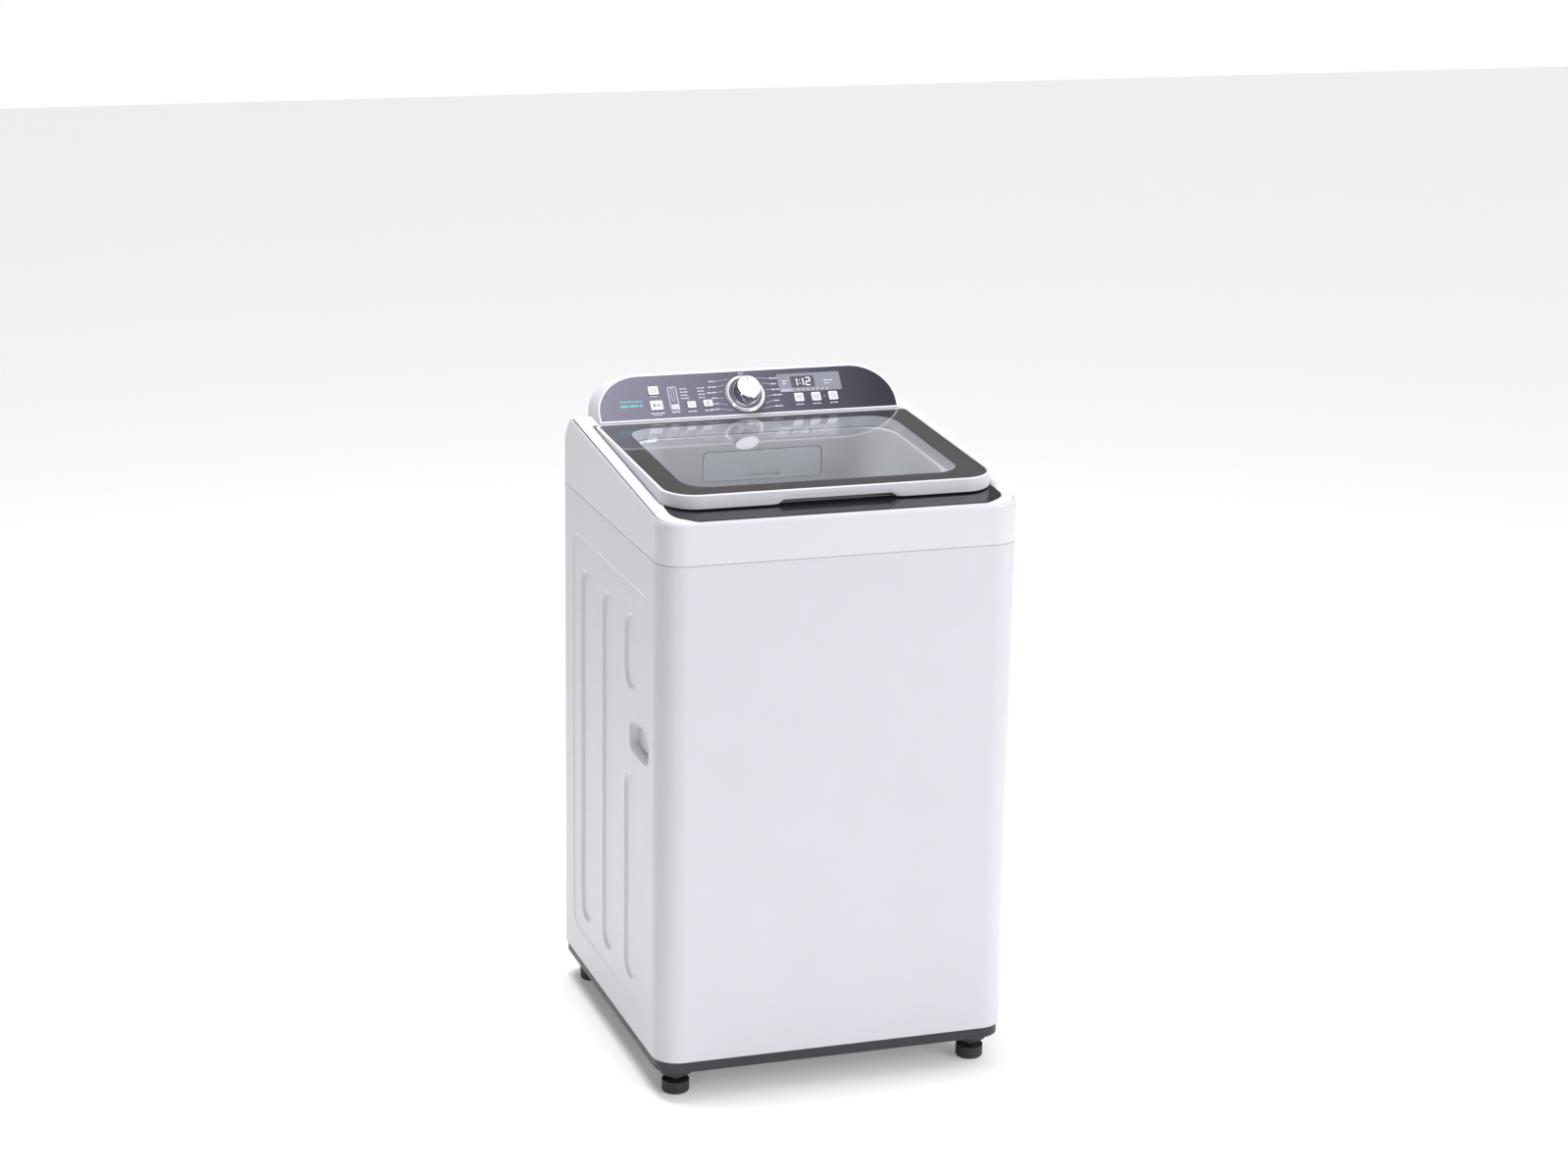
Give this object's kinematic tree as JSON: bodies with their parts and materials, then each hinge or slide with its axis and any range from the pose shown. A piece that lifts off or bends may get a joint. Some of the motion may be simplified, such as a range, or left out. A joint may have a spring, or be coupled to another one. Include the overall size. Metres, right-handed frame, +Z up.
{
  "type": "top load washing machine",
  "caption": "Top-loading washing machine with a hinged glass lid, a sloping control console, a suspended tub, a spin basket, a pulsator, a belt drive and a drain pump.",
  "frame": {"origin": "on the floor under the centre of the machine's overall box", "axes": "+X to the user's right, +Y to the back, +Z up"},
  "size_m": [0.6, 0.638, 1.0829],
  "materials": {
    "painted_steel": "satin",
    "white_plastic": "gloss",
    "dark_trim": "gloss",
    "lid_glass": "gloss",
    "panel_slate": "satin",
    "display": "gloss",
    "chrome": "polished",
    "clear_ring": "gloss",
    "button_white": "gloss",
    "base_plastic": "matte",
    "foot_rubber": "matte",
    "stainless": "brushed",
    "zinc_steel": "satin",
    "tub_plastic": "satin",
    "inner_grey": "satin",
    "cast_alloy": "cast",
    "black_rubber": "matte",
    "circuit_board": "satin",
    "valve_plastic": "satin"
  },
  "bodies": {
    "cabinet_unit": {"cabinet": "painted_steel", "rear_panel": "painted_steel", "rear_panel_screws": "zinc_steel", "base_frame": "base_plastic", "rear_feet": "foot_rubber", "top_cover": "white_plastic", "front_trim": "dark_trim", "console_housing": "white_plastic", "control_panel": "panel_slate", "display_window": "display", "display_board": "circuit_board", "knob_ring": "clear_ring", "main_board": "circuit_board", "inlet_valve": "valve_plastic", "dispenser_housing": "inner_grey", "pressure_switch": "valve_plastic", "lid_hinge_brackets": "valve_plastic", "lid_lock": "base_plastic", "corner_brackets": "zinc_steel", "suspension_rods": "zinc_steel", "drain_pump": "valve_plastic", "drain_spigot": "base_plastic", "cord_gland": "black_rubber"},
    "tub_unit": {"outer_tub": "tub_plastic", "tub_cover": "tub_plastic", "tub_bracket": "zinc_steel", "gearbox": "cast_alloy", "main_bearing": "zinc_steel", "shaft_seal": "black_rubber", "motor_stator": "cast_alloy", "sump_elbow": "tub_plastic", "drive_belt": "black_rubber", "suspension_springs": "zinc_steel", "drain_bellows": "black_rubber"},
    "basket_unit": {"wash_basket": "stainless", "basket_base": "inner_grey", "balance_ring": "inner_grey", "spin_shaft": "zinc_steel"},
    "filter_left": {"lint_filter_left": "inner_grey"},
    "filter_right": {"lint_filter_right": "inner_grey"},
    "pulsator_unit": {"pulsator": "inner_grey", "pulsator_shaft": "zinc_steel", "drive_pulley": "cast_alloy"},
    "rotor": {"motor_rotor": "zinc_steel"},
    "impeller": {"pump_impeller": "valve_plastic"},
    "lid": {"lid_frame": "white_plastic", "lid_glass": "lid_glass"},
    "dial": {"knob": "chrome"},
    "drawer": {"detergent_drawer": "inner_grey"},
    "lock_bolt": {"lid_lock_bolt": "zinc_steel"},
    "foot_left": {"front_foot_left": "foot_rubber"},
    "foot_right": {"front_foot_right": "foot_rubber"},
    "key_power": {"button_power": "button_white"},
    "key_start": {"button_start": "button_white"},
    "key_level": {"button_level": "button_white"},
    "key_water": {"button_water": "button_white"},
    "key_rinse": {"button_rinse": "button_white"},
    "key_spin": {"button_spin": "button_white"},
    "key_soak": {"button_soak": "button_white"},
    "key_delay": {"button_delay": "button_white"}
  },
  "joints": [
    {"name": "lid_hinge", "type": "hinge", "parent": "cabinet_unit", "child": "lid", "pos_m": [0, 0.152, 1.00163], "axis": [-1, 0, 0], "range_deg": [0, 72]},
    {"name": "dial_turn", "type": "hinge", "parent": "cabinet_unit", "child": "dial", "pos_m": [-0.004, 0.18405, 1.05407], "axis": [0, -0.766, 0.6428], "continuous": true},
    {"name": "press_power", "type": "slide", "parent": "cabinet_unit", "child": "key_power", "axis": [0, 0.766, -0.6428], "range_m": [0, 0.0012], "stiffness_N_per_m": 600, "springref_m": -0.0006},
    {"name": "press_start", "type": "slide", "parent": "cabinet_unit", "child": "key_start", "axis": [0, 0.766, -0.6428], "range_m": [0, 0.0012], "stiffness_N_per_m": 600, "springref_m": -0.0006},
    {"name": "press_level", "type": "slide", "parent": "cabinet_unit", "child": "key_level", "axis": [0, 0.766, -0.6428], "range_m": [0, 0.0012], "stiffness_N_per_m": 600, "springref_m": -0.0006},
    {"name": "press_water", "type": "slide", "parent": "cabinet_unit", "child": "key_water", "axis": [0, 0.766, -0.6428], "range_m": [0, 0.0012], "stiffness_N_per_m": 600, "springref_m": -0.0006},
    {"name": "press_rinse", "type": "slide", "parent": "cabinet_unit", "child": "key_rinse", "axis": [0, 0.766, -0.6428], "range_m": [0, 0.0012], "stiffness_N_per_m": 600, "springref_m": -0.0006},
    {"name": "press_spin", "type": "slide", "parent": "cabinet_unit", "child": "key_spin", "axis": [0, 0.766, -0.6428], "range_m": [0, 0.0012], "stiffness_N_per_m": 600, "springref_m": -0.0006},
    {"name": "press_soak", "type": "slide", "parent": "cabinet_unit", "child": "key_soak", "axis": [0, 0.766, -0.6428], "range_m": [0, 0.0012], "stiffness_N_per_m": 600, "springref_m": -0.0006},
    {"name": "press_delay", "type": "slide", "parent": "cabinet_unit", "child": "key_delay", "axis": [0, 0.766, -0.6428], "range_m": [0, 0.0012], "stiffness_N_per_m": 600, "springref_m": -0.0006},
    {"name": "drawer_slide", "type": "slide", "parent": "cabinet_unit", "child": "drawer", "axis": [0, -1, 0], "range_m": [0, 0.07]},
    {"name": "lock_bolt_slide", "type": "slide", "parent": "cabinet_unit", "child": "lock_bolt", "axis": [0, 0, 1], "range_m": [0, 0.007]},
    {"name": "tub_travel", "type": "slide", "parent": "cabinet_unit", "child": "tub_unit", "axis": [0, 0, 1], "range_m": [-0.02, 0.012], "stiffness_N_per_m": 16000, "springref_m": 0.01711, "deforming": ["suspension_springs", "drain_bellows"]},
    {"name": "basket_spin", "type": "hinge", "parent": "tub_unit", "child": "basket_unit", "pos_m": [0, -0.012, 0.5], "axis": [0, 0, 1], "continuous": true},
    {"name": "pulsator_spin", "type": "hinge", "parent": "tub_unit", "child": "pulsator_unit", "pos_m": [0, -0.012, 0.3], "axis": [0, 0, 1], "continuous": true},
    {"name": "motor_spin", "type": "hinge", "parent": "tub_unit", "child": "rotor", "pos_m": [-0.15, -0.117, 0.2], "axis": [0, 0, 1], "continuous": true},
    {"name": "filter_left_pull", "type": "slide", "parent": "basket_unit", "child": "filter_left", "axis": [1, 0, 0], "range_m": [0, 0.03]},
    {"name": "filter_right_pull", "type": "slide", "parent": "basket_unit", "child": "filter_right", "axis": [-1, 0, 0], "range_m": [0, 0.03]},
    {"name": "pump_spin", "type": "hinge", "parent": "cabinet_unit", "child": "impeller", "pos_m": [0.172, 0.128, 0.09], "axis": [0, 0, 1], "continuous": true},
    {"name": "foot_left_adjust", "type": "slide", "parent": "cabinet_unit", "child": "foot_left", "axis": [0, 0, -1], "range_m": [0, 0.012]},
    {"name": "foot_right_adjust", "type": "slide", "parent": "cabinet_unit", "child": "foot_right", "axis": [0, 0, -1], "range_m": [0, 0.012]}
  ],
  "couplings": [
    {"joint": "motor_spin", "follows": "pulsator_spin", "ratio": 3.2143}
  ]
}
